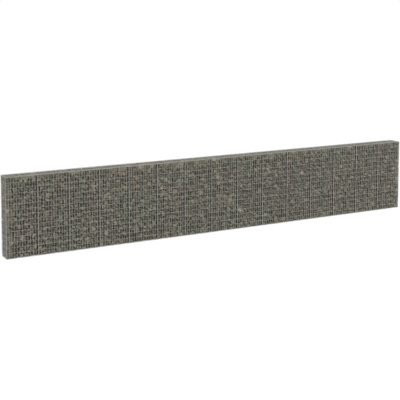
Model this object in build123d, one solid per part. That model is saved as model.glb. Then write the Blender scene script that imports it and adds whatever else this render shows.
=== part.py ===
import os

from build123d import *

os.makedirs("parts", exist_ok=True)

# A free-standing gabion wall: a row of welded wire cages laced side by side and packed with stone.
# Its length runs along X, its front faces -Y, and it stands on Z = 0 with the origin under its middle.
# All sizes are in millimetres.

# Driving sizes of the wall
bay_count = 15
bay_length = 600
wall_height = 1500
wall_depth = 300
wall_length = bay_count * bay_length

# Welded wire mesh. Each panel has its upright wires outside and its rows welded behind them.
wire = 4
sheet_thickness = 2 * wire
mesh_pitch_x = 50
mesh_pitch_z = 100
mesh_pitch_y = 50
panel_gap = 1

# The wires modelled here are the ones that carry each panel: every so many of the true mesh.
# The cross wires of the cover and the base line up with the uprights.
every_upright = 6
every_row = 5
every_depth_wire = 3

# Stone fill, packed up close to the partitions' wires
partition_clearance = wire + 2

# Cross ties, one wire each, hooked over a front and a back row
tie_offset_x = 125
tie_hook_drop = 14
tie_slot = 6

# How many bays share a node
bays_per_mesh = 2
bays_per_lid = 5
partitions_per_node = 4

panel_length = bay_length - panel_gap
panel_height = wall_height - 2 * sheet_thickness
inner_depth = wall_depth - 2 * sheet_thickness
outer_y = wall_depth / 2

upright_gaps = bay_length // (mesh_pitch_x * every_upright)
row_gaps = wall_height // (mesh_pitch_z * every_row)
depth_gaps = wall_depth // (mesh_pitch_y * every_depth_wire)


def bay_centre(bay):
    """X of the middle of a bay, counted from 0 at the left end."""
    return (bay + 0.5) * bay_length - wall_length / 2


def seam_x(seam):
    """X of a seam between bays, where seam 0 is the left end of the wall."""
    return seam * bay_length - wall_length / 2


def wire_centres(span, gaps):
    """Centres of evenly spaced wires whose outer ones lie flush with both ends of the span."""
    pitch = (span - wire) / gaps
    return [wire / 2 - span / 2 + i * pitch for i in range(gaps + 1)]


def mesh_panel(width, height, width_gaps, height_gaps):
    """A welded panel in the XY plane: wires along Y on the outside, under Z = 0, and wires along X behind.

    Each set of wires is a row of wire sections drawn across the panel and drawn out along it.
    """
    with BuildPart() as panel:
        with BuildSketch(Plane.XZ):
            with Locations(*[(x, -wire / 2) for x in wire_centres(width, width_gaps)]):
                Rectangle(wire, wire)
        extrude(amount=height / 2, both=True)
        with BuildSketch(Plane.YZ):
            with Locations(*[(y, -1.5 * wire) for y in wire_centres(height, height_gaps)]):
                Rectangle(wire, wire)
        extrude(amount=width / 2, both=True)
    return panel.part


def cross_tie(row_z):
    """A tie wire over one pair of rows: straight through the fill, both ends turned down outside the rows."""
    top = row_z + wire / 2 + wire
    low = top - tie_hook_drop
    outline = Polyline(
        (-outer_y, low),
        (-outer_y, top),
        (outer_y, top),
        (outer_y, low),
        (outer_y - wire, low),
        (outer_y - wire, top - wire),
        (-outer_y + wire, top - wire),
        (-outer_y + wire, low),
        close=True,
    )
    return extrude(Plane.YZ * make_face(outline), amount=wire / 2, both=True)


def write(node, solids):
    """One STEP file for a node, as a single solid or as a group of solids that don't touch."""
    shape = solids[0] if len(solids) == 1 else Compound(children=list(solids))
    export_step(shape, f"parts/{node}.step")


def groups(count, size):
    """Ranges that share out a count in runs of the given size."""
    return [range(first, min(first + size, count)) for first in range(0, count, size)]


def span_name(members):
    """The first and last bay or seam of a group, for the name of its node."""
    first = members[0] + 1
    last = members[-1] + 1
    return f"{first:02d}" if first == last else f"{first:02d}_{last:02d}"


# The panels that repeat, each made once
face_panel = mesh_panel(panel_length, panel_height, upright_gaps, row_gaps)
lid_panel = mesh_panel(wall_depth, panel_length, depth_gaps, upright_gaps)
side_panel = mesh_panel(inner_depth, panel_height, depth_gaps, row_gaps)

mid_z = wall_height / 2
row_levels = [mid_z + z for z in wire_centres(panel_height, row_gaps)]
inner_rows = row_levels[1:-1]

# Front and back mesh
for members in groups(bay_count, bays_per_mesh):
    fronts = []
    backs = []
    for bay in members:
        x = bay_centre(bay)
        front = Plane(origin=(x, -outer_y, mid_z), x_dir=(1, 0, 0), z_dir=(0, -1, 0))
        back = Plane(origin=(x, outer_y, mid_z), x_dir=(-1, 0, 0), z_dir=(0, 1, 0))
        fronts.append(front.location * face_panel)
        backs.append(back.location * face_panel)
    write(f"front_mesh_{span_name(members)}", fronts)
    write(f"back_mesh_{span_name(members)}", backs)

# Base and cover mesh, with the long wires outside and the cross wires against the fill
for members in groups(bay_count, bays_per_lid):
    bases = []
    covers = []
    for bay in members:
        x = bay_centre(bay)
        base = Plane(origin=(x, 0, 0), x_dir=(0, 1, 0), z_dir=(0, 0, -1))
        cover = Plane(origin=(x, 0, wall_height), x_dir=(0, 1, 0), z_dir=(0, 0, 1))
        bases.append(base.location * lid_panel)
        covers.append(cover.location * lid_panel)
    write(f"base_mesh_{span_name(members)}", bases)
    write(f"cover_mesh_{span_name(members)}", covers)

# End panels
left_end = Plane(origin=(seam_x(0), 0, mid_z), x_dir=(0, -1, 0), z_dir=(-1, 0, 0))
right_end = Plane(origin=(seam_x(bay_count), 0, mid_z), x_dir=(0, 1, 0), z_dir=(1, 0, 0))
write("left_end_mesh", [left_end.location * side_panel])
write("right_end_mesh", [right_end.location * side_panel])

# Partitions between bays, each centred on its seam
for members in groups(bay_count - 1, partitions_per_node):
    partitions = []
    for seam in members:
        x = seam_x(seam + 1) + wire
        plane = Plane(origin=(x, 0, mid_z), x_dir=(0, 1, 0), z_dir=(1, 0, 0))
        partitions.append(plane.location * side_panel)
    write(f"partitions_{span_name(members)}", partitions)

# Stone fill, one packed mass for each bay, with a slot for each tie
ties = []
for bay in range(bay_count):
    low_x = seam_x(bay) + (sheet_thickness if bay == 0 else partition_clearance)
    high_x = seam_x(bay + 1) - (sheet_thickness if bay == bay_count - 1 else partition_clearance)
    middle = (low_x + high_x) / 2
    fill = Pos(middle, 0, mid_z) * Box(high_x - low_x, inner_depth, panel_height)
    for row_z in inner_rows:
        for side in (-1, 1):
            x = bay_centre(bay) + side * tie_offset_x
            tie_z = row_z + wire
            fill -= Pos(x, 0, tie_z) * Box(tie_slot, wall_depth, tie_slot)
            ties.append(Pos(x, 0, 0) * cross_tie(row_z))
    write(f"stone_fill_{bay + 1:02d}", [fill])
write("cross_ties", ties)
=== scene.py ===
"""The looks of a gabion wall: welded mesh cages laced side by side and packed with broken stone."""
import math
import random

import bmesh
import bpy
from bpy.props import FloatProperty, FloatVectorProperty, IntProperty, PointerProperty
from mathutils import Matrix, Vector, kdtree


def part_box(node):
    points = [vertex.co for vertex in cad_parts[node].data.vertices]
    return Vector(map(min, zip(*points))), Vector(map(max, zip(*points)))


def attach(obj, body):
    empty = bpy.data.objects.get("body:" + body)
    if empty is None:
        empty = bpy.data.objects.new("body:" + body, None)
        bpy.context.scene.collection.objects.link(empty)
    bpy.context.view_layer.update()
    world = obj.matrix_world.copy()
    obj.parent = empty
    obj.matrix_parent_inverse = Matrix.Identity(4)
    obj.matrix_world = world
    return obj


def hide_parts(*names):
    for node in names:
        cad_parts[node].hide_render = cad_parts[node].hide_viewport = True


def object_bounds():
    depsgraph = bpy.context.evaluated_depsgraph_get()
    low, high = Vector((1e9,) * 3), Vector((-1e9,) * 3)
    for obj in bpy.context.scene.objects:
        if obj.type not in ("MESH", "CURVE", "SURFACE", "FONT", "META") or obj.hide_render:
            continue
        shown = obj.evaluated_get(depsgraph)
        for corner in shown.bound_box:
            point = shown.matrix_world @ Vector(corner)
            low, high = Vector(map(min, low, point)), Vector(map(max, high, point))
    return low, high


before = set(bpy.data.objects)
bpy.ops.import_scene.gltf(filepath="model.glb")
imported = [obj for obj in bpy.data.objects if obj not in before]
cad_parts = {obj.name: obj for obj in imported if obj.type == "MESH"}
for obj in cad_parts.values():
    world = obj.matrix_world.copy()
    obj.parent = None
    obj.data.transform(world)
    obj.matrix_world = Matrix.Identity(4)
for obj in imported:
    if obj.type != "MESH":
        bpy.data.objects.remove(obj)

bl_info = {
    "name": "Gabion Wall",
    "version": (1, 0, 0),
    "blender": (4, 5, 0),
    "location": "3D View > Sidebar > Gabion",
    "description": "Builds the mesh, lacing, ties and stones of a gabion wall around its CAD frame",
    "category": "Object",
}

BODY = "root"

# What the frame says about the wall, in metres
WALL_LOW, WALL_HIGH = [Vector(corner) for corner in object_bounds()]
FILL_NODES = sorted(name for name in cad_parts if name.startswith("stone_fill"))
BAYS = len(FILL_NODES)
BAY_LENGTH = (WALL_HIGH.x - WALL_LOW.x) / BAYS
WALL_DEPTH = WALL_HIGH.y - WALL_LOW.y
PANEL_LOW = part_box("left_end_mesh")[0].z
PANEL_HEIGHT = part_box("left_end_mesh")[1].z - PANEL_LOW
END_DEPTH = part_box("left_end_mesh")[1].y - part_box("left_end_mesh")[0].y

# The ways that the wall's faces look
FRONT = Vector((0, -1, 0))
BACK = Vector((0, 1, 0))
UP = Vector((0, 0, 1))
LEFT = Vector((-1, 0, 0))
RIGHT = Vector((1, 0, 0))

# How much of the zinc has weathered
MESH_WEATHERING = 0.7
LACING_WEATHERING = 0.6

# How stones lie, as shares of a place in the grid and of their depth
PLACE_JITTER = 0.36
EDGE_MARGIN = 0.1
SINK_RANGE = (0.38, 0.62)

# How large stones grow, and where the joint between a large and a small one comes to lie
GROWTH_RANGE = (0.72, 1.3)
GROWTH_PULL = 0.25
SHARE_RANGE = (0.3, 0.7)

# How open joints are, as shares of the usual gap, with few wide ones
OPENING_LEAST = 0.08
OPENING_SPAN = 1.15
OPENING_POWER = 1.6

# Gives each pair of stones a seed of its own
PAIR_PRIME = 4099

# How a stone is broken, in metres, and chipped, as shares of its reach
BACK_JITTER = 0.012
BREAK_RANGE = (0.004, 0.014)
CHIP_COUNT = (3, 5)
CHIP_LEAN = math.radians(75)
CHIP_RANGE = (0.05, 0.2)

# Which edges of a stone are worn, by the way their faces look and their length, and how much
WORN_FACING = 0.4
WORN_LENGTH = 0.006
WORN_RANGE = (0.6, 1.4)

# How light facets and whole stones are, and how squarely a face must look outward to be spared the painted
# shade of the joints
FACET_TONE_RANGE = (0.92, 1.08)
STONE_TONE_RANGE = (0.45, 1.7)
UNSHADED_FACING = 0.7

# Keeps the faces of the core's blocks off each other and off the base mesh
CORE_STEP = 0.002

# Where the lacing's centre lines run, in wire diameters inside the wall's faces and ends
LACING_INSET = 1.4
TOP_LACING_DROP = 1.5
END_LACING_INSET = 2

FLOOR_HALF_SIZE = 120.0

# Settings


class MeshSettings(bpy.types.PropertyGroup):
    """Sizes of the welded mesh."""

    wire: FloatProperty(
        name="Wire", description="Diameter of the mesh wire", default=0.004, unit="LENGTH", precision=4)
    weld: FloatProperty(
        name="Weld", description="How far crossing wires are pressed into each other", default=0.0004,
        unit="LENGTH", precision=4)
    panel_gap: FloatProperty(
        name="Panel gap", description="Room between two cages' panels", default=0.001,
        unit="LENGTH", precision=4)
    upright_gaps: IntProperty(
        name="Upright gaps", description="Openings along one cage", default=12, min=1)
    row_gaps: IntProperty(
        name="Row gaps", description="Openings over the height", default=15, min=1)
    depth_gaps: IntProperty(
        name="Depth gaps", description="Openings through the depth", default=6, min=1)
    lid_gaps: IntProperty(
        name="Lid gaps", description="Openings along one lid or floor", default=6, min=1)
    sides: IntProperty(
        name="Wire sides", description="Sides of a wire's section", default=8, min=3)
    floor_lift: FloatProperty(
        name="Floor lift", description="Room under the base mesh for its lacing", default=0.0034,
        unit="LENGTH", precision=4)


class LacingSettings(bpy.types.PropertyGroup):
    """Sizes of the spiral lacing."""

    wire: FloatProperty(
        name="Wire", description="Diameter of the lacing wire", default=0.003, unit="LENGTH", precision=4)
    radius: FloatProperty(
        name="Radius", description="Radius of the spiral's centre line", default=0.0075,
        unit="LENGTH", precision=4)
    pitch: FloatProperty(
        name="Pitch", description="Length of one turn", default=0.05, unit="LENGTH", precision=4)
    steps: IntProperty(
        name="Steps", description="Straight pieces in one turn", default=10, min=6)
    sides: IntProperty(
        name="Wire sides", description="Sides of the lacing wire's section", default=5, min=3)


class StoneSettings(bpy.types.PropertyGroup):
    """Sizes and colours of the stone fill."""

    width: FloatProperty(
        name="Width", description="Usual width of a stone", default=0.075, unit="LENGTH", precision=3)
    height: FloatProperty(
        name="Height", description="Usual height of a stone", default=0.058, unit="LENGTH", precision=3)
    depth: FloatProperty(
        name="Depth", description="Depth of the outer layer of stones", default=0.072,
        unit="LENGTH", precision=3)
    skipped: FloatProperty(
        name="Skipped", description="Share of the grid's places that a larger neighbour takes over",
        default=0.12, min=0.0, max=0.5)
    neighbours: IntProperty(
        name="Neighbours", description="How many stones round a stone shape it", default=14, min=6)
    gap: FloatProperty(
        name="Gap", description="Usual gap between two stones", default=0.0095, unit="LENGTH", precision=4)
    edge_fit: FloatProperty(
        name="Edge fit", description="How far joints, leans and chips are cut down along the wall's edges",
        default=0.25, min=0.0, max=1.0)
    bevel: FloatProperty(
        name="Worn edge", description="Width of a stone's worn edges", default=0.0022,
        unit="LENGTH", precision=4)
    core_inset: FloatProperty(
        name="Core inset", description="How far behind the stones' faces the dark core begins", default=0.036,
        unit="LENGTH", precision=3)
    end_core_inset: FloatProperty(
        name="End core inset", description="The same within the squared stones at the wall's ends",
        default=0.009, unit="LENGTH", precision=3)
    # Painted shade: the core is darker than the stones so that the deep joints read dark
    core_shade_tone: FloatProperty(
        name="Core tone", description="Lightness of the core", default=0.35)
    standoff: FloatProperty(
        name="Standoff", description="Extra room between a bay's stones and the panel on their left",
        default=0.002, unit="LENGTH", precision=3)
    slack: FloatProperty(
        name="Slack", description="Extra room between a bay's stones and the panel on their right",
        default=0.024, unit="LENGTH", precision=3)
    joint_skew: FloatProperty(
        name="Joint skew", description="How far the gap between two stones may lean",
        default=math.radians(16), unit="ROTATION")
    face_lean: FloatProperty(
        name="Face lean", description="How far a stone's outer face may lean", default=math.radians(22),
        unit="ROTATION")
    tone_spread: FloatProperty(
        name="Tone spread", description="How far the stones differ in lightness", default=0.23)
    # Painted shade: a stone's sides that turn away from the wall's face are darkened to this share, for the
    # dark of the joints, and sides that look up are spared some of it, painted as lit from above
    shaded_side_tone: FloatProperty(
        name="Side tone", description="Lightness of the shaded sides against the washed outer faces",
        default=0.42)
    toplit_share: FloatProperty(
        name="Toplit tone", description="How far toplight lightens the sides that look up, against the outer faces",
        default=0.85, min=0.0, max=1.0)
    seed: IntProperty(
        name="Seed", description="Picks another lie of the stones", default=7)
    warm: FloatVectorProperty(
        name="Warm stone", description="Colour of the warm grey stones", default=(0.154, 0.131, 0.096),
        subtype="COLOR", size=3)
    cool: FloatVectorProperty(
        name="Cool stone", description="Colour of the greenish stones", default=(0.139, 0.139, 0.094),
        subtype="COLOR", size=3)


class WireLookSettings(bpy.types.PropertyGroup):
    """Colours of the galvanised wire."""

    zinc: FloatVectorProperty(
        name="Zinc", description="Colour of the clean zinc", default=(0.505, 0.501, 0.478),
        subtype="COLOR", size=3)
    dull: FloatVectorProperty(
        name="Dull zinc", description="Colour of the weathered zinc", default=(0.37, 0.366, 0.349),
        subtype="COLOR", size=3)


class StageSettings(bpy.types.PropertyGroup):
    """Camera and lights."""

    camera_place: FloatVectorProperty(
        name="Camera place", description="Where the camera stands", default=(-8.998, -15.896, 4.576),
        unit="LENGTH", size=3)
    camera_turn: FloatProperty(
        name="Camera turn", description="How far the camera looks to the right of the wall's depth",
        default=math.radians(28.16), unit="ROTATION")
    camera_tilt: FloatProperty(
        name="Camera tilt", description="How far the camera looks down", default=math.radians(5.28),
        unit="ROTATION")
    lens: FloatProperty(
        name="Lens", description="Focal length in millimetres", default=82.13)
    shift: FloatProperty(
        name="Lens shift", description="Upward shift that keeps the uprights nearly parallel", default=-0.28)
    sky_level: FloatProperty(
        name="Sky level", description="Strength of the even light", default=0.58)
    sun_level: FloatProperty(
        name="Sun level", description="Strength of the soft key light", default=2.2)
    sun_from: FloatVectorProperty(
        name="Sun from", description="Where the key light comes from", default=(-0.37, -0.6, 0.71),
        subtype="DIRECTION", size=3)
    sun_angle: FloatProperty(
        name="Sun angle", description="How wide the key light is, for soft shadows",
        default=math.radians(20), unit="ROTATION")
    floor_tone: FloatProperty(
        name="Floor tone", description="Lightness of the floor as it lights the wall", default=0.72)
    floor_glow: FloatProperty(
        name="Floor glow", description="Strength of the white that the eye sees on the floor", default=1.06)
    floor_glow_share: FloatProperty(
        name="Floor glow share", description="Share of that white, the rest being the lit and shadowed floor",
        default=0.88)


# Meshes


def wire_centres(span, gaps, wire):
    """Centres of evenly spaced wires whose outer ones lie flush with both ends of the span."""
    pitch = (span - wire) / gaps
    return [wire / 2 - span / 2 + i * pitch for i in range(gaps + 1)]


def bay_centre(bay):
    """X of the middle of a bay."""
    return WALL_LOW.x + (bay + 0.5) * BAY_LENGTH


def seam_x(seam):
    """X of a seam, where seam 0 is the left end of the wall."""
    return WALL_LOW.x + seam * BAY_LENGTH


def node_span(node):
    """The bays or seams that a node covers, from the numbers in its name."""
    numbers = [int(word) for word in node.split("_") if word.isdigit()]
    return range(numbers[0] - 1, numbers[-1])


def add_wire(bm, start, end, radius, sides):
    """A straight round wire between two points, closed at both ends."""
    run = end - start
    turn = run.to_track_quat("Z", "Y").to_matrix().to_4x4()
    bmesh.ops.create_cone(
        bm, cap_ends=True, cap_tris=False, segments=sides, radius1=radius, radius2=radius,
        depth=run.length, matrix=Matrix.Translation((start + end) / 2) @ turn)


def panel_place(origin, across, outward):
    """A matrix whose X runs across a panel, Y up it and Z out of it."""
    up = outward.cross(across)
    turn = Matrix((across, up, outward)).transposed().to_4x4()
    return Matrix.Translation(origin) @ turn


def add_panel(bm, place, width, height, width_gaps, height_gaps):
    """A welded panel: wires along its Y outside, just under Z = 0, and wires along its X behind them."""
    mesh = bpy.context.scene.gabion_mesh
    radius = mesh.wire / 2
    behind = -3 * radius + mesh.weld
    for x in wire_centres(width, width_gaps, mesh.wire):
        start = place @ Vector((x, -height / 2, -radius))
        end = place @ Vector((x, height / 2, -radius))
        add_wire(bm, start, end, radius, mesh.sides)
    for y in wire_centres(height, height_gaps, mesh.wire):
        start = place @ Vector((-width / 2, y, behind))
        end = place @ Vector((width / 2, y, behind))
        add_wire(bm, start, end, radius, mesh.sides)


def finish_piece(bm, name, material, nodes=(), round_sides=True):
    """Makes a bmesh an object at the origin that rides on the wall and replaces the nodes it stands for.

    Round wires are smooth along their sides, with a sharp rim round each cut end.
    """
    for face in bm.faces:
        face.smooth = round_sides and len(face.verts) == 4
        if round_sides and not face.smooth:
            for edge in face.edges:
                edge.smooth = False
    data = bpy.data.meshes.new(name)
    bm.to_mesh(data)
    bm.free()
    piece = bpy.data.objects.new(name, data)
    bpy.context.scene.collection.objects.link(piece)
    piece.data.materials.append(material)
    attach(piece, BODY)
    if nodes:
        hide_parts(*nodes)
    return piece


# Shader helpers


def add_node(tree, kind, **values):
    """A shader node with its settings, and with its unlinked inputs set by name."""
    node = tree.nodes.new(kind)
    inputs = values.pop("inputs", {})
    for key, value in values.items():
        setattr(node, key, value)
    for key, value in inputs.items():
        node.inputs[key].default_value = value
    return node


def mix_colour(tree, factor, first, second, blend="MIX"):
    """A colour mix of two sockets or colours."""
    node = add_node(tree, "ShaderNodeMix", data_type="RGBA", blend_type=blend)
    for socket, value in zip((node.inputs[0], node.inputs[6], node.inputs[7]), (factor, first, second)):
        if isinstance(value, bpy.types.NodeSocket):
            tree.links.new(value, socket)
        else:
            socket.default_value = value
    return node.outputs[2]


def map_range(tree, value, low, high, to_low=0.0, to_high=1.0):
    """A clamped map of a value from one range to another."""
    node = add_node(
        tree, "ShaderNodeMapRange", clamp=True,
        inputs={"From Min": low, "From Max": high, "To Min": to_low, "To Max": to_high})
    tree.links.new(value, node.inputs["Value"])
    return node.outputs["Result"]


def math_node(tree, operation, first, second):
    """A two-input maths node."""
    node = add_node(tree, "ShaderNodeMath", operation=operation)
    for socket, value in zip(node.inputs[:2], (first, second)):
        if isinstance(value, bpy.types.NodeSocket):
            tree.links.new(value, socket)
        else:
            socket.default_value = value
    return node.outputs[0]


def noise(tree, coordinates, scale, detail=4.0, roughness=0.6, distortion=0.0):
    """The value of a noise texture on given coordinates."""
    node = add_node(
        tree, "ShaderNodeTexNoise",
        inputs={"Scale": scale, "Detail": detail, "Roughness": roughness, "Distortion": distortion})
    tree.links.new(coordinates, node.inputs["Vector"])
    return node.outputs["Fac"]


def new_group(name, inputs, outputs):
    """An empty shader group with named sockets: inputs and outputs map a name to its socket type."""
    group = bpy.data.node_groups.new(name, "ShaderNodeTree")
    for socket, kind in inputs.items():
        group.interface.new_socket(socket, in_out="INPUT", socket_type=kind)
    for socket, kind in outputs.items():
        group.interface.new_socket(socket, in_out="OUTPUT", socket_type=kind)
    return group, group.nodes.new("NodeGroupInput"), group.nodes.new("NodeGroupOutput")


def dust_group():
    """Pale stone dust that settles on faces turned up, thinner where the noise is low."""
    group = bpy.data.node_groups.get("settled_dust")
    if group:
        return group
    group, given, result = new_group(
        "settled_dust",
        {"Color": "NodeSocketColor", "Dust": "NodeSocketColor", "Amount": "NodeSocketFloat",
         "Scale": "NodeSocketFloat"},
        {"Color": "NodeSocketColor", "Mask": "NodeSocketFloat"})
    place = add_node(group, "ShaderNodeTexCoord").outputs["Object"]
    normal = add_node(group, "ShaderNodeNewGeometry").outputs["Normal"]
    split = add_node(group, "ShaderNodeSeparateXYZ")
    group.links.new(normal, split.inputs[0])
    upward = map_range(group, split.outputs["Z"], low=0.15, high=0.95)
    patches = add_node(group, "ShaderNodeTexNoise", inputs={"Detail": 5.0, "Roughness": 0.65})
    group.links.new(place, patches.inputs["Vector"])
    group.links.new(given.outputs["Scale"], patches.inputs["Scale"])
    thick = map_range(group, patches.outputs["Fac"], low=0.35, high=0.7)
    cover = math_node(group, "MULTIPLY", upward, thick)
    mask = math_node(group, "MULTIPLY", cover, given.outputs["Amount"])
    colour = mix_colour(group, mask, given.outputs["Color"], given.outputs["Dust"])
    group.links.new(colour, result.inputs["Color"])
    group.links.new(mask, result.inputs["Mask"])
    return group


def zinc_group():
    """A hot-dip zinc coat: small spangles, dull weathered patches and darker specks."""
    group = bpy.data.node_groups.get("zinc_coat")
    if group:
        return group
    group, given, result = new_group(
        "zinc_coat",
        {"Zinc": "NodeSocketColor", "Dull": "NodeSocketColor", "Weathering": "NodeSocketFloat"},
        {"Color": "NodeSocketColor", "Roughness": "NodeSocketFloat", "Metallic": "NodeSocketFloat",
         "Height": "NodeSocketFloat"})
    place = add_node(group, "ShaderNodeTexCoord").outputs["Object"]
    spangle = add_node(group, "ShaderNodeTexVoronoi", inputs={"Scale": 260.0})
    group.links.new(place, spangle.inputs["Vector"])
    grey = add_node(group, "ShaderNodeSeparateColor")
    group.links.new(spangle.outputs["Color"], grey.inputs[0])
    flakes = map_range(group, grey.outputs[0], low=0.0, high=1.0, to_low=0.82, to_high=1.12)
    patches = noise(group, place, scale=9.0, detail=5.0, roughness=0.62)
    patchy = map_range(group, patches, low=0.38, high=0.66)
    weathered = math_node(group, "MULTIPLY", patchy, given.outputs["Weathering"])
    coat = mix_colour(group, weathered, given.outputs["Zinc"], given.outputs["Dull"])
    fine = noise(group, place, scale=420.0, detail=2.0, roughness=0.5)
    specks = map_range(group, fine, low=0.66, high=0.74, to_low=1.0, to_high=0.72)
    tone = math_node(group, "MULTIPLY", flakes, specks)
    scaled = add_node(group, "ShaderNodeVectorMath", operation="SCALE")
    group.links.new(coat, scaled.inputs[0])
    group.links.new(tone, scaled.inputs["Scale"])
    group.links.new(scaled.outputs[0], result.inputs["Color"])
    rough = map_range(group, weathered, low=0.0, high=1.0, to_low=0.42, to_high=0.68)
    bright = map_range(group, weathered, low=0.0, high=1.0, to_low=0.35, to_high=0.15)
    group.links.new(rough, result.inputs["Roughness"])
    group.links.new(bright, result.inputs["Metallic"])
    group.links.new(noise(group, place, scale=900.0, detail=3.0, roughness=0.6), result.inputs["Height"])
    return group


def place_group(tree, group, **values):
    """A group node with its unlinked inputs set by name."""
    node = tree.nodes.new("ShaderNodeGroup")
    node.node_tree = group
    for key, value in values.items():
        node.inputs[key].default_value = value
    return node


def new_material(name):
    """A material with its node tree emptied down to a Principled shader and the output."""
    material = bpy.data.materials.new(name)
    material.use_nodes = True
    tree = material.node_tree
    return material, tree, tree.nodes["Principled BSDF"]


def add_bump(tree, shader, height, strength, distance):
    """Bump from a height socket into the shader's normal."""
    bump = add_node(tree, "ShaderNodeBump", inputs={"Strength": strength, "Distance": distance})
    tree.links.new(height, bump.inputs["Height"])
    tree.links.new(bump.outputs["Normal"], shader.inputs["Normal"])


def zinc_material(name, weathering):
    """Galvanised wire with a little settled dust."""
    known = bpy.data.materials.get(name)
    if known:
        return known
    look = bpy.context.scene.gabion_wire_look
    material, tree, shader = new_material(name)
    coat = place_group(tree, zinc_group(), Zinc=(*look.zinc, 1), Dull=(*look.dull, 1), Weathering=weathering)
    dust = place_group(tree, dust_group(), Dust=(0.3, 0.285, 0.255, 1), Amount=0.35, Scale=14.0)
    tree.links.new(coat.outputs["Color"], dust.inputs["Color"])
    tree.links.new(dust.outputs["Color"], shader.inputs["Base Color"])
    tree.links.new(coat.outputs["Roughness"], shader.inputs["Roughness"])
    tree.links.new(coat.outputs["Metallic"], shader.inputs["Metallic"])
    add_bump(tree, shader, coat.outputs["Height"], strength=0.25, distance=0.0004)
    return material


def stone_material():
    """Broken quarry stone: a tone and hue of its own for each stone, its tone carrying the painted shade of
    the stones' sides and of the core, with mottling, grain, pits and dust.
    """
    known = bpy.data.materials.get("broken_stone")
    if known:
        return known
    look = bpy.context.scene.gabion_stone
    material, tree, shader = new_material("broken_stone")
    place = add_node(tree, "ShaderNodeTexCoord").outputs["Object"]
    tall = add_node(tree, "ShaderNodeMapping", inputs={"Scale": (1.0, 1.0, 0.45)})
    tree.links.new(place, tall.inputs["Vector"])
    broad = noise(tree, tall.outputs["Vector"], scale=3.4, detail=3.0, roughness=0.5)
    lot = map_range(tree, broad, low=0.45, high=0.55)
    own_hue = add_node(tree, "ShaderNodeAttribute", attribute_name="stone_hue").outputs["Fac"]
    own_part = math_node(tree, "MULTIPLY", own_hue, 0.12)
    lot_part = math_node(tree, "MULTIPLY", lot, 0.88)
    hue = math_node(tree, "ADD", own_part, lot_part)
    base = mix_colour(tree, hue, (*look.warm, 1), (*look.cool, 1))
    # This tone is each stone's own tone times the painted shade on its sides, and the core's painted dark
    tone = add_node(tree, "ShaderNodeAttribute", attribute_name="stone_tone").outputs["Fac"]
    patches = noise(tree, place, scale=9.0, detail=2.0, roughness=0.5)
    mottle = noise(tree, place, scale=24.0, detail=6.0, roughness=0.62, distortion=0.6)
    grain = noise(tree, place, scale=190.0, detail=5.0, roughness=0.72)
    patch_level = map_range(tree, patches, low=0.35, high=0.65, to_low=0.7, to_high=1.3)
    mottle_level = map_range(tree, mottle, low=0.3, high=0.7, to_low=0.6, to_high=1.38)
    grain_level = map_range(tree, grain, low=0.25, high=0.75, to_low=0.8, to_high=1.22)
    level = tone
    for part in (patch_level, mottle_level, grain_level):
        level = math_node(tree, "MULTIPLY", level, part)
    scaled = add_node(tree, "ShaderNodeVectorMath", operation="SCALE")
    tree.links.new(base, scaled.inputs[0])
    tree.links.new(level, scaled.inputs["Scale"])
    swirl = noise(tree, place, scale=34.0, detail=3.0, roughness=0.55, distortion=2.2)
    off_vein = math_node(tree, "ABSOLUTE", math_node(tree, "SUBTRACT", swirl, 0.5), 0.0)
    vein = map_range(tree, off_vein, low=0.003, high=0.01, to_low=0.3, to_high=0.0)
    veined = mix_colour(tree, vein, scaled.outputs[0], (0.27, 0.26, 0.235, 1))
    dust = place_group(tree, dust_group(), Dust=(0.235, 0.223, 0.194, 1), Amount=0.5, Scale=22.0)
    tree.links.new(veined, dust.inputs["Color"])
    tree.links.new(dust.outputs["Color"], shader.inputs["Base Color"])
    rough = map_range(tree, grain, low=0.3, high=0.7, to_low=0.97, to_high=0.8)
    tree.links.new(rough, shader.inputs["Roughness"])
    shader.inputs["Specular IOR Level"].default_value = 0.35
    broken = noise(tree, place, scale=38.0, detail=8.0, roughness=0.7, distortion=0.4)
    pits = math_node(tree, "MULTIPLY", grain, 0.3)
    add_bump(tree, shader, math_node(tree, "ADD", broken, pits), strength=1.0, distance=0.012)
    return material


# Stones


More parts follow.
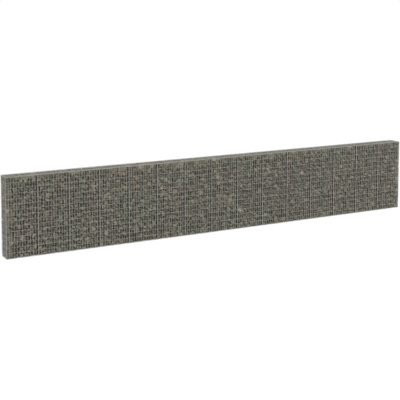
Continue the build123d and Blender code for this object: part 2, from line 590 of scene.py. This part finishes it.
class StoneBed:
    """The stones of one bay: where each lies, which way it looks and how large it grows."""

    def __init__(self, low, high, seed):
        self.low = low
        self.high = high
        self.rng = random.Random(seed)
        self.seeds = []
        self.tree = None

    def face_point(self, outward):
        """A point on the face of the bay that looks outward."""
        reach = abs((self.high - self.low).dot(outward)) / 2
        return (self.low + self.high) / 2 + outward * reach

    def add_layer(self, outward, across, rise, across_range, rise_range):
        """Places stones on a loose staggered grid just inside one face of the bay."""
        sizes = bpy.context.scene.gabion_stone
        rng = self.rng
        columns = max(1, round((across_range[1] - across_range[0]) / sizes.width))
        rows = max(1, round((rise_range[1] - rise_range[0]) / sizes.height))
        width = (across_range[1] - across_range[0]) / columns
        height = (rise_range[1] - rise_range[0]) / rows
        face = outward * self.face_point(outward).dot(outward)
        for row in range(rows):
            stagger = 0.5 * (row % 2)
            for column in range(columns + row % 2):
                if rng.random() < sizes.skipped:
                    continue
                u = column + 0.5 - stagger + rng.uniform(-PLACE_JITTER, PLACE_JITTER)
                v = row + 0.5 + rng.uniform(-PLACE_JITTER, PLACE_JITTER)
                u = across_range[0] + u * width
                v = rise_range[0] + v * height
                u = min(max(u, across_range[0] + EDGE_MARGIN * width), across_range[1] - EDGE_MARGIN * width)
                inward = sizes.depth * rng.uniform(*SINK_RANGE)
                place = face + across * u + rise * v - outward * inward
                self.seeds.append((place, outward, rng.uniform(*GROWTH_RANGE)))

    def settle(self):
        """Builds the search tree once every layer is in."""
        self.tree = kdtree.KDTree(len(self.seeds))
        for index, (place, _, _) in enumerate(self.seeds):
            self.tree.insert(place, index)
        self.tree.balance()

    def at_wall_edge(self, index):
        """Whether a stone lies along an outer edge of the wall, where squared ones keep a true line."""
        depth = bpy.context.scene.gabion_stone.depth
        place = self.seeds[index][0]
        ends = min(place.x - WALL_LOW.x, WALL_HIGH.x - place.x) < depth
        faces = min(place.y - WALL_LOW.y, WALL_HIGH.y - place.y) < depth
        lid = WALL_HIGH.z - place.z < depth
        return ends + faces + lid > 1

    def joints(self, index):
        """The planes that part a stone from its neighbours, each the same whichever of the two asks."""
        sizes = bpy.context.scene.gabion_stone
        place, _, growth = self.seeds[index]
        for other_place, other, distance in self.tree.find_n(place, sizes.neighbours + 1):
            if other == index:
                continue
            rng = random.Random(min(index, other) * PAIR_PRIME + max(index, other))
            straight = (other_place - place) / distance
            share = 0.5 + (growth ** 2 - self.seeds[other][2] ** 2) * GROWTH_PULL
            point = place + straight * distance * min(max(share, SHARE_RANGE[0]), SHARE_RANGE[1])
            ordered = straight if index < other else -straight
            normal = random_lean(rng, ordered, sizes.joint_skew)
            normal *= 1 if index < other else -1
            opening = sizes.gap * (OPENING_LEAST + OPENING_SPAN * rng.random() ** OPENING_POWER)
            if self.at_wall_edge(index) or self.at_wall_edge(other):
                opening *= sizes.edge_fit
            yield point - normal * opening, normal


def slice_off(bm, point, normal):
    """Cuts away what lies beyond a plane and closes the cut."""
    if max((vert.co - point).dot(normal) for vert in bm.verts) < 1e-5:
        return
    cut = bmesh.ops.bisect_plane(
        bm, geom=bm.verts[:] + bm.edges[:] + bm.faces[:], dist=1e-6, plane_co=point, plane_no=normal,
        clear_outer=True)
    rim = [part for part in cut["geom_cut"] if isinstance(part, bmesh.types.BMEdge)]
    if len(rim) > 2:
        bmesh.ops.edgeloop_fill(bm, edges=rim)


def random_lean(rng, outward, angle):
    """A direction that leans from outward by up to an angle."""
    side = Vector((rng.uniform(-1, 1), rng.uniform(-1, 1), rng.uniform(-1, 1)))
    side -= outward * side.dot(outward)
    side.normalize()
    lean = angle * math.sqrt(rng.random())
    return outward * math.cos(lean) + side * math.sin(lean)


def chip(bm, direction, share):
    """Knocks the furthest corner off in a direction, by a share of the stone's reach that way."""
    reach = [vert.co.dot(direction) for vert in bm.verts]
    depth = (max(reach) - min(reach)) * share
    slice_off(bm, direction * (max(reach) - depth), direction)


def add_block(bm, low, high):
    """A block between two corners, and the faces it has."""
    first = len(bm.faces)
    added = bmesh.ops.create_cube(bm, size=1.0)
    bmesh.ops.scale(bm, vec=high - low, verts=added["verts"])
    bmesh.ops.translate(bm, vec=(low + high) / 2, verts=added["verts"])
    bm.faces.ensure_lookup_table()
    return bm.faces[first:]


def carve_stone(bed, index):
    """One stone: its cell between its neighbours, with a leaning broken face, chips and worn edges."""
    sizes = bpy.context.scene.gabion_stone
    rng = bed.rng
    outward = bed.seeds[index][1]
    fit = sizes.edge_fit if bed.at_wall_edge(index) else 1.0
    bm = bmesh.new()
    add_block(bm, bed.low, bed.high)
    slice_off(bm, bed.face_point(outward) - outward * (sizes.depth + BACK_JITTER * rng.random()), -outward)
    for point, normal in bed.joints(index):
        slice_off(bm, point, normal)
    lean = random_lean(rng, outward, sizes.face_lean * fit)
    reach = max(vert.co.dot(lean) for vert in bm.verts)
    slice_off(bm, lean * (reach - rng.uniform(*BREAK_RANGE) * fit), lean)
    for _ in range(rng.randint(*CHIP_COUNT)):
        chip(bm, random_lean(rng, outward, CHIP_LEAN), rng.uniform(*CHIP_RANGE) * fit)
    worn = []
    for edge in bm.edges:
        outer = any(face.normal.dot(outward) > WORN_FACING for face in edge.link_faces)
        if outer and edge.calc_length() > WORN_LENGTH:
            worn.append(edge)
    bmesh.ops.bevel(
        bm, geom=worn, offset=sizes.bevel * rng.uniform(*WORN_RANGE), offset_type="OFFSET", segments=1,
        profile=0.5, affect="EDGES", clamp_overlap=True, material=-1)
    return bm


def bed_for(bay):
    """The bed of a bay: a front, a back and a top layer, and an end layer at either end of the wall."""
    sizes = bpy.context.scene.gabion_stone
    low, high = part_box(FILL_NODES[bay])
    if bay > 0:
        low.x += sizes.standoff
    if bay < BAYS - 1:
        high.x -= sizes.slack
    bed = StoneBed(low, high, sizes.seed * 1000 + bay)
    middle_y = (low.y + sizes.depth, high.y - sizes.depth)
    bed.add_layer(FRONT, RIGHT, UP, (low.x, high.x), (low.z, high.z))
    bed.add_layer(BACK, RIGHT, UP, (low.x, high.x), (low.z, high.z))
    bed.add_layer(UP, RIGHT, BACK, (low.x, high.x), middle_y)
    if bay == 0:
        bed.add_layer(LEFT, BACK, UP, middle_y, (low.z, high.z - sizes.depth))
    if bay == BAYS - 1:
        bed.add_layer(RIGHT, BACK, UP, middle_y, (low.z, high.z - sizes.depth))
    bed.settle()
    return bed


def core_blocks(bay):
    """The corners of the dark blocks that stand for the stones within a bay, their darkness being painted
    shade.

    They show only through the joints and beside the seams.
    """
    sizes = bpy.context.scene.gabion_stone
    low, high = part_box(FILL_NODES[bay])
    inset = sizes.core_inset
    close = sizes.end_core_inset
    end_low = low + Vector((close, close, close))
    end_high = high - Vector((close, close, close))
    main_low = Vector((low.x, low.y + inset, low.z + CORE_STEP))
    main_high = Vector((high.x, high.y - inset, high.z - inset))
    blocks = []
    if bay == 0:
        main_low.x += inset
        blocks.append((end_low, Vector((low.x + 2 * inset, end_high.y, end_high.z))))
    if bay == BAYS - 1:
        main_high.x -= inset
        blocks.append((Vector((high.x - 2 * inset, end_low.y, end_low.z)), end_high))
    else:
        # Closes the slack beside the seam up to the lid
        slack_low = Vector((high.x - sizes.slack, end_low.y, high.z - 2 * inset))
        blocks.append((slack_low, Vector((high.x - CORE_STEP, end_high.y, end_high.z))))
    blocks.append((main_low, main_high))
    return blocks


def stone_piece(bay):
    """All the stones that show in one bay, around its core, which is dark with painted shade."""
    sizes = bpy.context.scene.gabion_stone
    bed = bed_for(bay)
    bm = bmesh.new()
    tone = bm.faces.layers.float.new("stone_tone")
    hue = bm.faces.layers.float.new("stone_hue")
    scratch = bpy.data.meshes.new("stone_scratch")
    for index, (_, outward, _) in enumerate(bed.seeds):
        stone = carve_stone(bed, index)
        stone.to_mesh(scratch)
        stone.free()
        first = len(bm.faces)
        bm.from_mesh(scratch)
        bm.faces.ensure_lookup_table()
        stone_tone = bed.rng.gauss(1.0, sizes.tone_spread)
        stone_tone = min(max(stone_tone, STONE_TONE_RANGE[0]), STONE_TONE_RANGE[1])
        stone_hue = bed.rng.random()
        for face in bm.faces[first:]:
            # Painted shade on the sides turned away from the face, less on sides that look up, as if lit from
            # above; the stone and facet tones differ at random
            toplit = face.normal.z * sizes.toplit_share
            unshaded = min(max(face.normal.dot(outward) / UNSHADED_FACING, toplit, 0.0), 1.0)
            fresh = bed.rng.uniform(*FACET_TONE_RANGE)
            face[tone] = stone_tone * fresh * (sizes.shaded_side_tone + (1 - sizes.shaded_side_tone) * unshaded)
            face[hue] = stone_hue
    bpy.data.meshes.remove(scratch)
    # The core blocks take a dark tone as painted shade in the deep joints
    for low, high in core_blocks(bay):
        for face in add_block(bm, low, high):
            face[tone] = sizes.core_shade_tone
            face[hue] = 0.5
    bmesh.ops.recalc_face_normals(bm, faces=bm.faces)
    return finish_piece(
        bm, f"stones_{bay + 1:02d}", stone_material(), [FILL_NODES[bay]], round_sides=False)


# Operators


class GABION_OT_face_mesh(bpy.types.Operator):
    """Make the front and back mesh panels"""

    bl_idname = "gabion.face_mesh"
    bl_label = "Front and Back Mesh"

    def execute(self, context):
        mesh = context.scene.gabion_mesh
        material = zinc_material("mesh_zinc", MESH_WEATHERING)
        mid_z = PANEL_LOW + PANEL_HEIGHT / 2
        width = BAY_LENGTH - mesh.panel_gap
        for side, across, outward, edge_y in (
                ("front", RIGHT, FRONT, WALL_LOW.y), ("back", LEFT, BACK, WALL_HIGH.y)):
            for node in sorted(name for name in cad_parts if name.startswith(f"{side}_mesh")):
                bm = bmesh.new()
                for bay in node_span(node):
                    place = panel_place(Vector((bay_centre(bay), edge_y, mid_z)), across, outward)
                    add_panel(bm, place, width, PANEL_HEIGHT, mesh.upright_gaps, mesh.row_gaps)
                finish_piece(bm, node.replace("mesh", "wires"), material, [node])
        return {"FINISHED"}


class GABION_OT_lid_mesh(bpy.types.Operator):
    """Make the cover and base mesh panels"""

    bl_idname = "gabion.lid_mesh"
    bl_label = "Cover and Base Mesh"

    def execute(self, context):
        mesh = context.scene.gabion_mesh
        material = zinc_material("mesh_zinc", MESH_WEATHERING)
        length = BAY_LENGTH - mesh.panel_gap
        for level, outward, z in (
                ("cover", UP, WALL_HIGH.z), ("base", -UP, WALL_LOW.z + mesh.floor_lift)):
            for node in sorted(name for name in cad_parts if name.startswith(f"{level}_mesh")):
                bm = bmesh.new()
                for bay in node_span(node):
                    place = panel_place(Vector((bay_centre(bay), 0, z)), BACK, outward)
                    add_panel(bm, place, WALL_DEPTH, length, mesh.depth_gaps, mesh.lid_gaps)
                finish_piece(bm, node.replace("mesh", "wires"), material, [node])
        return {"FINISHED"}


class GABION_OT_side_mesh(bpy.types.Operator):
    """Make the end panels and the partitions between bays"""

    bl_idname = "gabion.side_mesh"
    bl_label = "Ends and Partitions"

    def execute(self, context):
        mesh = context.scene.gabion_mesh
        material = zinc_material("mesh_zinc", MESH_WEATHERING)
        mid_z = PANEL_LOW + PANEL_HEIGHT / 2
        for node, outward, x in (
                ("left_end_mesh", LEFT, WALL_LOW.x), ("right_end_mesh", RIGHT, WALL_HIGH.x)):
            bm = bmesh.new()
            place = panel_place(Vector((x, 0, mid_z)), BACK, outward)
            add_panel(bm, place, END_DEPTH, PANEL_HEIGHT, mesh.depth_gaps, mesh.row_gaps)
            finish_piece(bm, node.replace("mesh", "wires"), material, [node])
        for node in sorted(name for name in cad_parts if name.startswith("partitions")):
            bm = bmesh.new()
            for seam in node_span(node):
                x = seam_x(seam + 1) + mesh.wire
                place = panel_place(Vector((x, 0, mid_z)), BACK, RIGHT)
                add_panel(bm, place, END_DEPTH, PANEL_HEIGHT, mesh.depth_gaps, mesh.row_gaps)
            finish_piece(bm, node.replace("partitions", "partition_wires"), material, [node])
        return {"FINISHED"}


def spiral_template(length, turns):
    """A lacing spiral along Z from 0 to its length, screwed out of one wire section by the spin operator."""
    lacing = bpy.context.scene.gabion_lacing
    rise = length / turns
    tangent = Vector((0, 2 * math.pi * lacing.radius, rise)).normalized()
    turn = tangent.to_track_quat("Z", "Y").to_matrix().to_4x4()
    place = Matrix.Translation(Vector((lacing.radius, 0, 0))) @ turn
    bm = bmesh.new()
    bmesh.ops.create_circle(bm, cap_ends=True, segments=lacing.sides, radius=lacing.wire / 2, matrix=place)
    steps = turns * lacing.steps
    bmesh.ops.spin(
        bm, geom=bm.verts[:] + bm.edges[:] + bm.faces[:], cent=(0, 0, 0), axis=(0, 0, 1),
        dvec=(0, 0, length / steps), angle=2 * math.pi * turns, steps=steps, use_merge=False)
    bmesh.ops.recalc_face_normals(bm, faces=bm.faces)
    data = bpy.data.meshes.new("spiral")
    bm.to_mesh(data)
    bm.free()
    return data


def add_copy(bm, template, place):
    """Adds a placed copy of a template mesh."""
    first = len(bm.verts)
    bm.from_mesh(template)
    bm.verts.ensure_lookup_table()
    bmesh.ops.transform(bm, matrix=place, verts=bm.verts[first:])


class GABION_OT_lacing(bpy.types.Operator):
    """Make the spirals that lace the panels together"""

    bl_idname = "gabion.lacing"
    bl_label = "Spiral Lacing"

    def execute(self, context):
        mesh = context.scene.gabion_mesh
        lacing = context.scene.gabion_lacing
        material = zinc_material("lacing_zinc", LACING_WEATHERING)
        reach = lacing.radius + lacing.wire / 2
        inset = LACING_INSET * mesh.wire
        end_inset = END_LACING_INSET * mesh.wire
        tall = spiral_template(PANEL_HEIGHT - mesh.wire, round(PANEL_HEIGHT / lacing.pitch))
        for side, y in (("front", WALL_LOW.y + inset), ("back", WALL_HIGH.y - inset)):
            bm = bmesh.new()
            for seam in range(BAYS + 1):
                x = seam_x(seam)
                x = min(max(x, WALL_LOW.x + inset), WALL_HIGH.x - inset)
                add_copy(bm, tall, Matrix.Translation((x, y, PANEL_LOW + mesh.wire / 2)))
            finish_piece(bm, f"{side}_seam_lacing", material)
        bay_long = spiral_template(BAY_LENGTH - mesh.wire, round(BAY_LENGTH / lacing.pitch))
        deep = spiral_template(END_DEPTH - 2 * end_inset, round(END_DEPTH / lacing.pitch))
        along = Matrix.Rotation(math.pi / 2, 4, "Y")
        through = Matrix.Rotation(-math.pi / 2, 4, "X")
        top_z = WALL_HIGH.z - TOP_LACING_DROP * mesh.wire
        for level, z in (("top", top_z), ("bottom", WALL_LOW.z + reach)):
            bm = bmesh.new()
            for y in (WALL_LOW.y + inset, WALL_HIGH.y - inset):
                for bay in range(BAYS):
                    x = seam_x(bay) + mesh.wire / 2
                    add_copy(bm, bay_long, Matrix.Translation((x, y, z)) @ along)
            for x in (WALL_LOW.x + inset, WALL_HIGH.x - inset):
                add_copy(bm, deep, Matrix.Translation((x, -END_DEPTH / 2 + end_inset, z)) @ through)
            finish_piece(bm, f"{level}_edge_lacing", material)
        for template in (tall, bay_long, deep):
            bpy.data.meshes.remove(template)
        return {"FINISHED"}


class GABION_OT_ties(bpy.types.Operator):
    """Finish the cross ties"""

    bl_idname = "gabion.ties"
    bl_label = "Cross Ties"

    def execute(self, context):
        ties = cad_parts["cross_ties"]
        ties.data.materials.clear()
        ties.data.materials.append(zinc_material("lacing_zinc", LACING_WEATHERING))
        return {"FINISHED"}


class GABION_OT_stones(bpy.types.Operator):
    """Pack every bay with stones"""

    bl_idname = "gabion.stones"
    bl_label = "Stone Fill"

    def execute(self, context):
        for bay in range(BAYS):
            stone_piece(bay)
        return {"FINISHED"}


def white_for_the_eye(tree, strength):
    """A factor of 1 for camera, glossy and transmission rays, scaled by a strength."""
    path = tree.nodes.new("ShaderNodeLightPath")
    seen = math_node(tree, "MAXIMUM", path.outputs["Is Camera Ray"], path.outputs["Is Glossy Ray"])
    seen = math_node(tree, "MAXIMUM", seen, path.outputs["Is Transmission Ray"])
    return math_node(tree, "MULTIPLY", seen, strength)


class GABION_OT_stage(bpy.types.Operator):
    """Make the floor, the lights and the camera"""

    bl_idname = "gabion.stage"
    bl_label = "Stage"

    def execute(self, context):
        scene = context.scene
        stage = scene.gabion_stage
        self.add_floor(stage)
        self.add_world(scene, stage)
        self.add_sun(scene, stage)
        self.add_camera(scene, stage)
        scene.view_settings.view_transform = "Standard"
        return {"FINISHED"}

    def add_floor(self, stage):
        """A pale floor that looks white and keeps a faint shadow."""
        bm = bmesh.new()
        bmesh.ops.create_grid(bm, x_segments=1, y_segments=1, size=FLOOR_HALF_SIZE)
        data = bpy.data.meshes.new("floor")
        bm.to_mesh(data)
        bm.free()
        floor = bpy.data.objects.new("floor", data)
        bpy.context.scene.collection.objects.link(floor)
        material, tree, shader = new_material("pale_floor")
        shader.inputs["Base Color"].default_value = (stage.floor_tone, stage.floor_tone, stage.floor_tone, 1)
        shader.inputs["Roughness"].default_value = 0.9
        glow = add_node(
            tree, "ShaderNodeEmission", inputs={"Color": (1, 1, 1, 1), "Strength": stage.floor_glow})
        mixed = tree.nodes.new("ShaderNodeMixShader")
        tree.links.new(white_for_the_eye(tree, stage.floor_glow_share), mixed.inputs[0])
        tree.links.new(shader.outputs[0], mixed.inputs[1])
        tree.links.new(glow.outputs[0], mixed.inputs[2])
        tree.links.new(mixed.outputs[0], tree.nodes["Material Output"].inputs["Surface"])
        data.materials.append(material)

    def add_world(self, scene, stage):
        """An even white sky that looks white and lights at its own level."""
        world = bpy.data.worlds.new("studio")
        world.use_nodes = True
        tree = world.node_tree
        sky = tree.nodes["Background"]
        sky.inputs["Color"].default_value = (1, 1, 1, 1)
        seen = white_for_the_eye(tree, 1.0)
        tree.links.new(map_range(tree, seen, 0.0, 1.0, stage.sky_level, 1.0), sky.inputs["Strength"])
        scene.world = world

    def add_sun(self, scene, stage):
        """A soft key light from above on the left, a little in front."""
        lamp = bpy.data.lights.new("key_sun", "SUN")
        lamp.energy = stage.sun_level
        lamp.angle = stage.sun_angle
        sun = bpy.data.objects.new("key_sun", lamp)
        sun.rotation_euler = Vector(stage.sun_from).to_track_quat("Z", "Y").to_euler()
        scene.collection.objects.link(sun)

    def add_camera(self, scene, stage):
        """The camera at the photograph's viewing angle."""
        lens = bpy.data.cameras.new("camera")
        lens.sensor_width = 36.0
        lens.lens = stage.lens
        lens.shift_y = stage.shift
        lens.clip_end = 300.0
        camera = bpy.data.objects.new("camera", lens)
        camera.location = stage.camera_place
        camera.rotation_euler = (math.pi / 2 - stage.camera_tilt, 0, -stage.camera_turn)
        scene.collection.objects.link(camera)
        scene.camera = camera


class GABION_PT_sidebar(bpy.types.Panel):
    """Lists the steps and sizes of the gabion wall"""

    bl_idname = "GABION_PT_sidebar"
    bl_label = "Gabion Wall"
    bl_space_type = "VIEW_3D"
    bl_region_type = "UI"
    bl_category = "Gabion"

    def draw(self, context):
        column = self.layout.column()
        for operator in OPERATORS:
            column.operator(operator.bl_idname)
        for name in SETTINGS:
            group = getattr(context.scene, name)
            for key in group.bl_rna.properties.keys():
                if key not in ("rna_type", "name"):
                    column.prop(group, key)


SETTINGS = {
    "gabion_mesh": MeshSettings,
    "gabion_lacing": LacingSettings,
    "gabion_stone": StoneSettings,
    "gabion_wire_look": WireLookSettings,
    "gabion_stage": StageSettings,
}
OPERATORS = (
    GABION_OT_stage,
    GABION_OT_face_mesh,
    GABION_OT_lid_mesh,
    GABION_OT_side_mesh,
    GABION_OT_lacing,
    GABION_OT_ties,
    GABION_OT_stones,
)


def register():
    """Registers the settings, operators and panel."""
    for settings in SETTINGS.values():
        bpy.utils.register_class(settings)
    for operator in OPERATORS:
        bpy.utils.register_class(operator)
    bpy.utils.register_class(GABION_PT_sidebar)
    for name, settings in SETTINGS.items():
        setattr(bpy.types.Scene, name, PointerProperty(type=settings))


def unregister():
    """Takes the settings, operators and panel away again."""
    for name in SETTINGS:
        delattr(bpy.types.Scene, name)
    bpy.utils.unregister_class(GABION_PT_sidebar)
    for operator in reversed(OPERATORS):
        bpy.utils.unregister_class(operator)
    for settings in reversed(SETTINGS.values()):
        bpy.utils.unregister_class(settings)


def main():
    """Builds the wall's looks."""
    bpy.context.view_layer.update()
    register()
    bpy.ops.gabion.stage()
    bpy.ops.gabion.face_mesh()
    bpy.ops.gabion.lid_mesh()
    bpy.ops.gabion.side_mesh()
    bpy.ops.gabion.lacing()
    bpy.ops.gabion.ties()
    bpy.ops.gabion.stones()


if __name__ == "__main__":
    main()
